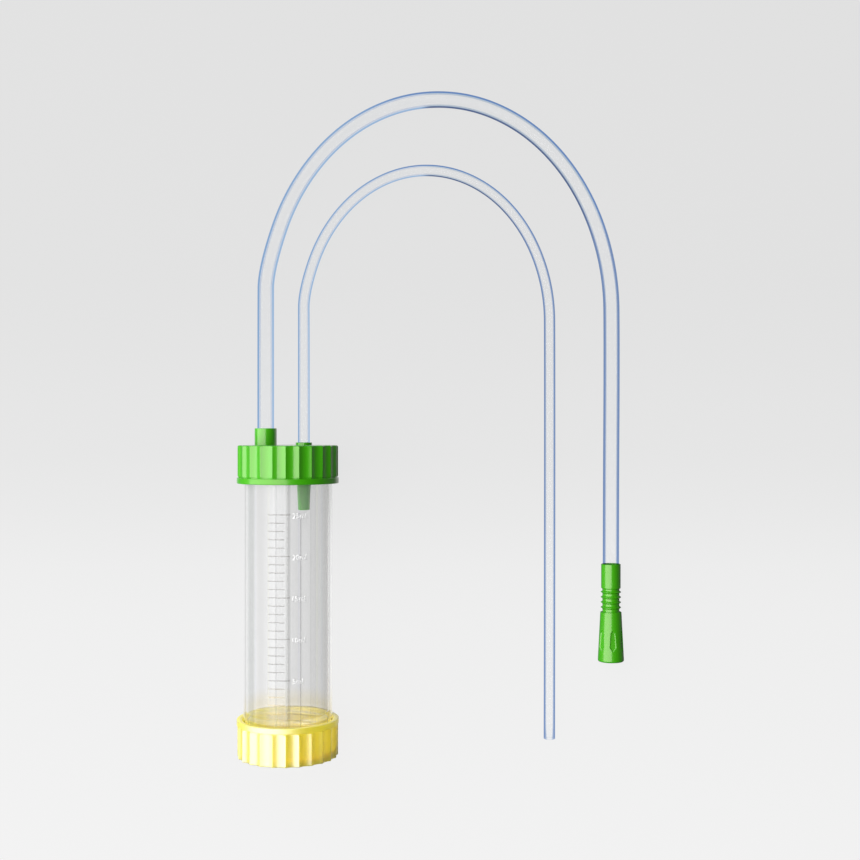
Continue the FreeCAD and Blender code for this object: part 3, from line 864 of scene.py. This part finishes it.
def containerShape(sizes):
    # The section of the wall turned about the container's axis: over the floor, up the bore,
    # down the outside and up into the skirt. Both threads are added to the outside.
    topShoulder = sizes["rimY"] - sizes["neckLength"]
    lowShoulder = sizes["skirtRimY"] + sizes["neckLength"]
    corners = [
        (0.0, sizes["floorTopY"], 0.0),
        (sizes["bore"], sizes["floorTopY"], 1.0),
        (sizes["bore"], sizes["rimY"], 0.2),
        (sizes["neckRadius"], sizes["rimY"], 0.25),
        (sizes["neckRadius"], topShoulder, 0.15),
        (sizes["radius"], topShoulder - sizes["shoulder"], 0.25),
        (sizes["radius"], lowShoulder + sizes["shoulder"], 0.25),
        (sizes["neckRadius"], lowShoulder, 0.15),
        (sizes["neckRadius"], sizes["skirtRimY"], 0.25),
        (sizes["skirtBore"], sizes["skirtRimY"], 0.25),
        (sizes["skirtBore"], sizes["floorUnderY"], 0.4),
        (0.0, sizes["floorUnderY"], 0.0),
    ]
    zones = [
        (topShoulder, sizes["rimY"], 0.11),
        (sizes["skirtRimY"], lowShoulder, 0.11),
        (-100.0, 100.0, 3.0),
    ]
    line = filledIn(roundedLine(corners), zones)
    radius, height = line[:, :1], line[:, 1:]
    angle = (fullTurn * np.arange(sizes["columns"]) / sizes["columns"])[None, :]
    rise = threadRise(height, angle, sizes["neckThread"])
    rise = rise + threadRise(height, angle, sizes["skirtThread"])
    onThread = radius > sizes["bore"] + 0.3
    points = aroundAxis(radius + np.where(onThread, rise, 0.0), height, angle)
    return points, gridFaces(points.shape)


addPiece(
    "container_wall",
    [containerShape(container)],
    containerClear,
    "container",
    ["specimen_container"],
)
print("container made")

cap = {
    "radius": 14.7,
    "height": 11.0,
    "bore": 13.15,
    "plate": 1.5,
    "flange": 1.6,
    "notchHeight": 0.45,
    "notchDepth": 0.35,
    "flutes": 24,
    "perFlute": 14,
    "fluteDepth": 0.7,
    "ridgeLand": 0.30,
    "ridgeBlend": 0.5,
    "firstFlute": 11.1,  # degrees from straight up
    "fluteEdge": 0.25,
    "innerEnd": 12.0,  # where the flat fills take over from the ring, inside and outside
    "outerEnd": 13.2,
    "portColumns": 72,
}
greenCap = {
    "openY": 31.55,
    "facing": 1.0,
    "edge": 0.65,
    "thread": {"atZero": 31.8, "first": 0.3, "last": 2.3},
    "nozzleLength": 17.3,
    "nozzleTip": 1.69,
    "suction": {
        "across": -6.45,
        "collar": 3.2,
        "rise": 4.9,
        "socket": 2.43,
        "depth": 5.6,
        "bore": 1.65,
    },
    "catheter": {
        "across": 4.62,
        "collar": 2.38,
        "rise": 0.8,
        "socket": 1.73,
        "depth": 6.0,
        "bore": 1.1,
    },
}
yellowCap = {
    "openY": -36.45,
    "facing": -1.0,
    "edge": 0.3,
    "thread": {"atZero": -42.7, "first": -0.3, "last": 1.7},
}


def fluteFloor(angle):
    # Radius of the flutes at each angle: each is part of a circle outside the cap, whose
    # nearest point is one flute's depth in from the ridges.
    half = math.pi / cap["flutes"]
    chord = cap["radius"] * math.sin(half) - cap["ridgeLand"] / 2
    sagitta = cap["fluteDepth"] - cap["radius"] * (1 - math.cos(half))
    curve = (chord**2 + sagitta**2) / (2 * sagitta)
    ring = cap["radius"] - cap["fluteDepth"] + curve
    turn = (angle - math.radians(cap["firstFlute"]) + half) % (2 * half) - half
    reach = np.maximum(curve**2 - (ring * np.sin(turn)) ** 2, 0.0)
    return ring * np.cos(turn) - np.sqrt(reach)


def capShape(sizes):
    # Outside from the end face over the edge, the flutes and the flange, then the bore and the
    # underside of the plate. Columns crowd towards the ridges.
    plateUnder = cap["height"] - cap["plate"]
    corners = [
        (cap["outerEnd"], cap["height"], 0.0),
        (cap["outerEnd"] + 0.25, cap["height"], 0.0),
        (cap["radius"], cap["height"], sizes["edge"]),
        (cap["radius"], cap["flange"] + cap["notchHeight"], 0.05),
        (cap["radius"] - cap["notchDepth"], cap["flange"] + cap["notchHeight"] / 2, 0.08),
        (cap["radius"], cap["flange"], 0.22),
        (cap["radius"], 0.0, 0.2),
        (cap["bore"], 0.0, 0.25),
        (cap["bore"], plateUnder, 0.3),
        (cap["innerEnd"] + 0.1, plateUnder, 0.0),
        (cap["innerEnd"], plateUnder, 0.0),
    ]
    line = filledIn(roundedLine(corners, guard=0.05), [(0.2, plateUnder, 0.15)])
    radius, height = line[:, :1], line[:, 1:]
    spread = np.sin(np.linspace(-0.5, 0.5, cap["perFlute"], endpoint=False) * math.pi)
    step = fullTurn / cap["flutes"]
    centres = math.radians(cap["firstFlute"]) + step * np.arange(cap["flutes"])
    angle = (centres[:, None] + spread[None, :] * step / 2).reshape(1, -1)
    aboveStart = np.clip(height - (cap["height"] - cap["fluteEdge"]), 0.0, cap["fluteEdge"])
    pulled = cap["fluteEdge"] - np.sqrt(np.maximum(cap["fluteEdge"] ** 2 - aboveStart**2, 0.0))
    fluted = softLower(radius, fluteFloor(angle) - pulled, cap["ridgeBlend"])
    outside = (radius > cap["bore"] + 0.1) & (height > cap["flange"] + 0.005)
    bored = (np.abs(radius - cap["bore"]) < 0.01) & (height < plateUnder)
    y = sizes["openY"] + sizes["facing"] * height
    rise = threadRise(y, angle % fullTurn, sizes["thread"])
    radius = np.where(outside, fluted, radius - np.where(bored, rise, 0.0))
    points = aroundAxis(radius, y, angle)
    return points, gridFaces(points.shape)


def portShape(port, tail):
    # One run from the cap's end face up the collar, down the socket and the bore, and along
    # the tail, turned about the port's own axis.
    top = cap["height"] + port["rise"]
    seat = top - port["depth"]
    foot = min(0.2, port["rise"] / 3)
    corners = [
        (port["collar"] + foot + 0.16, cap["height"], 0.0),
        (port["collar"] + foot + 0.08, cap["height"], 0.0),
        (port["collar"], cap["height"], foot),
        (port["collar"], top, 0.15),
        (port["socket"], top, 0.1),
        (port["socket"], seat, 0.05),
        (port["bore"], seat, 0.1),
        *tail,
    ]
    line = filledIn(roundedLine(corners, guard=0.04), [(-20.0, 20.0, 1.5)])
    angle = (fullTurn * np.arange(cap["portColumns"]) / cap["portColumns"])[None, :]
    centre = (port["across"], axisHeight)
    y = greenCap["openY"] + line[:, 1:]
    points = aroundAxis(line[:, :1], y, angle, centre)
    return points, gridFaces(points.shape)


plateUnder = cap["height"] - cap["plate"]
nozzleRoot = greenCap["catheter"]["collar"]
nozzleTipHeight = plateUnder - greenCap["nozzleLength"]
suctionTail = [
    (greenCap["suction"]["bore"], plateUnder, 0.12),
    (greenCap["suction"]["bore"] + 0.25, plateUnder, 0.0),
    (greenCap["suction"]["bore"] + 0.33, plateUnder, 0.0),
]
catheterTail = [
    (greenCap["catheter"]["bore"], nozzleTipHeight, 0.1),
    (greenCap["nozzleTip"], nozzleTipHeight, 0.3),
    (nozzleRoot, plateUnder, 0.3),
    (nozzleRoot + 0.5, plateUnder, 0.0),
    (nozzleRoot + 0.58, plateUnder, 0.0),
]
greenWall = capShape(greenCap)
suctionPort = portShape(greenCap["suction"], suctionTail)
catheterPort = portShape(greenCap["catheter"], catheterTail)
greenFace = flatFill([greenWall[0][0], suctionPort[0][0], catheterPort[0][0]])
greenUnder = flatFill([greenWall[0][-1], suctionPort[0][-1], catheterPort[0][-1]])
addPiece(
    "green_cap",
    [greenWall, suctionPort, catheterPort, greenFace, greenUnder],
    capGreen,
    "lid",
    ["tubed_cap"],
)
yellowWall = capShape(yellowCap)
yellowFace = flatFill([yellowWall[0][0]])
yellowUnder = flatFill([yellowWall[0][-1]])
addPiece(
    "yellow_cap",
    [yellowWall, yellowFace, yellowUnder],
    capYellow,
    "spare_lid",
    ["spare_cap"],
)
print("caps made")

liners = {
    "green_cap_liner": {
        "low": 40.05,
        "high": 41.05,
        "hole": 10.4,
        "body": "lid_liner",
        "node": "tubed_cap_liner",
    },
    "yellow_cap_liner": {
        "low": -45.95,
        "high": -44.95,
        "hole": 0.0,
        "body": "spare_liner",
        "node": "spare_cap_liner",
    },
}
linerRadius = 12.85
linerColumns = 120

for linerName, sizes in liners.items():
    corners = [
        (sizes["hole"], sizes["low"], 0.12),
        (linerRadius, sizes["low"], 0.15),
        (linerRadius, sizes["high"], 0.15),
        (sizes["hole"], sizes["high"], 0.12),
    ]
    ringShaped = sizes["hole"] > 0
    line = roundedLine(corners, closed=ringShaped)
    angle = (fullTurn * np.arange(linerColumns) / linerColumns)[None, :]
    points = aroundAxis(line[:, :1], line[:, 1:], angle)
    faces = gridFaces(points.shape, closedRows=ringShaped)
    addPiece(
        linerName, [(points, faces)], linerWhite, sizes["body"], [sizes["node"]]
    )
print("liners made")

scale = {
    "fullY": 23.14,  # the 25 ml mark
    "perMl": 2.327,
    "marks": 25,
    "major": 5,
    "from": -19.4,  # degrees from straight up
    "minorTo": 1.6,
    "majorTo": 8.8,
    "width": 0.30,
    "proud": 0.04,
    "sunk": 0.03,
    "barPoints": 13,
    "textFrom": 12.0,
    "textWide": 2.1,  # for one unit of the lettering's own width
    "textHeight": 1.57,
    "textDrop": 0.3,
    "textThick": 0.05,  # in the lettering's own units, as the next
    "textBolder": 0.018,
}


def wrappedBar(y, start, end):
    # A thin bar round the wall: a rectangle across Y and the radius, carried round by angle.
    half = scale["width"] / 2
    low = container["radius"] - scale["sunk"]
    high = container["radius"] + scale["proud"]
    across = np.array([-half, half, half, -half])[None, :]
    radius = np.array([low, low, high, high])[None, :]
    angle = np.radians(np.linspace(start, end, scale["barPoints"]))[:, None]
    points = aroundAxis(radius, y + across, angle).reshape(-1, 3)
    last = len(points) - 4
    ends = [[3, 2, 1, 0], [last, last + 1, last + 2, last + 3]]
    return points, gridFaces((scale["barPoints"], 4)) + ends


def markHeight(ml):
    # Counts down from the full mark by the spacing of one millilitre.
    return scale["fullY"] - (scale["marks"] - ml) * scale["perMl"]


bars = []
for ml in range(1, scale["marks"] + 1):
    end = scale["minorTo"] if ml % scale["major"] else scale["majorTo"]
    bars.append(wrappedBar(markHeight(ml), scale["from"], end))
addPiece("scale_marks", bars, inkForMarks, "container", [])


def wrappedNumber(text, y):
    # Plain lettering made a mesh, fitted to its height and bent round the wall.
    curve = bpy.data.curves.new("number", "FONT")
    curve.body = text
    curve.extrude = scale["textThick"]
    curve.offset = scale["textBolder"]
    holder = bpy.data.objects.new("number", curve)
    mesh = bpy.data.meshes.new_from_object(holder)
    flat = np.empty(len(mesh.vertices) * 3)
    mesh.vertices.foreach_get("co", flat)
    flat = flat.reshape(-1, 3)
    faces = [list(polygon.vertices) for polygon in mesh.polygons]
    bpy.data.objects.remove(holder)
    flat -= flat.min(axis=0)
    share = flat / flat.max(axis=0)
    angle = math.radians(scale["textFrom"]) + flat[:, 0] * scale["textWide"] / container["radius"]
    height = y - scale["textDrop"] + (share[:, 1] - 0.5) * scale["textHeight"]
    thick = scale["proud"] + scale["sunk"]
    radius = container["radius"] - scale["sunk"] + share[:, 2] * thick
    return aroundAxis(radius, height, angle), faces


numbers = []
for ml in range(scale["major"], scale["marks"] + 1, scale["major"]):
    numbers.append(wrappedNumber(f"{ml}ml", markHeight(ml)))
addPiece("scale_numbers", numbers, inkForNumbers, "container", [])
print("graduations made")

studio = {
    "floorSize": 4.0,  # metres
    "floorBelow": 0.0001,  # metres under the object, so that no two faces meet
    "floorColour": (0.14, 0.14, 0.14),  # as it lights the object
    "shadowColour": (0.45, 0.45, 0.45),  # as it takes the shadow
    # tone of the floor as the camera sees it, along Y in metres
    "toneFrom": -0.08,
    "toneTo": 0.18,
    "tones": (
        (0.0, 0.902),
        (0.12, 0.889),
        (0.27, 0.872),
        (0.33, 0.857),
        (0.40, 0.822),
        (0.46, 0.799),
        (0.52, 0.790),
        (0.58, 0.777),
        (0.66, 0.765),
        (1.0, 0.759),
    ),
    "shadowShare": 0.055,
    # the softbox: degrees from overhead towards +X, then metres, then brightness
    "key": {
        "angle": -43.0,
        "distance": 0.62,
        "along": 0.20,
        "width": 1.27,
        "length": 1.28,
        "glow": 3.7,
    },
    "centre": (0.042, 0.048, 0.01),
    "fill": 0.08,
    "nearFrom": 29.0,  # how far from the container's axis its own reflection of the floor reaches
    "nearTo": 27.0,
}


def floorFinish(name):
    # Plain pale surface. The camera, and any ray through clear plastic, sees its studio tone
    # with a share of the real light and shadow on it, and so do reflections close to the
    # container; everything else sees a plain matt floor.
    finish = Finish(name)
    x, y, z = finish.split(finish.place())
    along = (y - studio["toneFrom"]) / (studio["toneTo"] - studio["toneFrom"])
    stops = [(position, (tone, tone, tone, 1.0)) for position, tone in studio["tones"]]
    tone = finish.node("ShaderNodeValToRGB", {"stops": stops}, {"Fac": along})
    matt = finish.node("ShaderNodeBsdfDiffuse", {}, {"Color": shade(studio["floorColour"])})
    glow = finish.node("ShaderNodeEmission", {}, {"Color": tone, "Strength": 1.0})
    shadowed = finish.node("ShaderNodeBsdfDiffuse", {}, {"Color": shade(studio["shadowColour"])})
    seen = finish.mixed(studio["shadowShare"], glow, shadowed)
    rays = ("Is Camera Ray", "Is Transmission Ray", "Is Glossy Ray")
    looking, passed, mirrored = [finish.lightPath(ray) for ray in rays]
    away = x.maths("ABSOLUTE", x)
    near = finish.between(away, studio["nearFrom"] * mm, studio["nearTo"] * mm)
    looked = passed.maths("MAXIMUM", passed.maths("MAXIMUM", looking, passed), mirrored * near)
    return finish.close(finish.mixed(looked, matt, seen))


floorHalf = studio["floorSize"] / 2
floorMesh = bpy.data.meshes.new("floor")
signs = ((-1, -1), (1, -1), (1, 1), (-1, 1))
floorCorners = [(x * floorHalf, y * floorHalf, -studio["floorBelow"]) for x, y in signs]
floorMesh.from_pydata(floorCorners, [], [(0, 1, 2, 3)])
floorMesh.materials.append(floorFinish("floor_pale"))
floor = bpy.data.objects.new("floor", floorMesh)
bpy.context.collection.objects.link(floor)


def softbox(name, box):
    # A rectangular lamp that faces the object, tipped about Y from straight up.
    lamp = bpy.data.lights.new(name, "AREA")
    lamp.shape = "RECTANGLE"
    lamp.size = box["width"]
    lamp.size_y = box["length"]
    lamp.energy = box["glow"] * math.pi * box["width"] * box["length"]
    tip = math.radians(box["angle"])
    centre = studio["centre"]
    holder = bpy.data.objects.new(name, lamp)
    holder.location = (
        centre[0] + box["distance"] * math.sin(tip),
        centre[1] + box["along"],
        centre[2] + box["distance"] * math.cos(tip),
    )
    holder.rotation_euler = (0.0, tip, 0.0)
    holder.visible_camera = False
    holder.visible_transmission = False  # its rays cross clear plastic as shadow rays do
    bpy.context.collection.objects.link(holder)


softbox("key_softbox", studio["key"])

world = bpy.data.worlds.new("studio")
world.use_nodes = True
backdrop = world.node_tree.nodes["Background"]
backdrop.inputs["Color"].default_value = (1.0, 1.0, 1.0, 1.0)
backdrop.inputs["Strength"].default_value = studio["fill"]
bpy.context.scene.world = world
bpy.context.scene.view_settings.view_transform = "Standard"
print("studio lit")
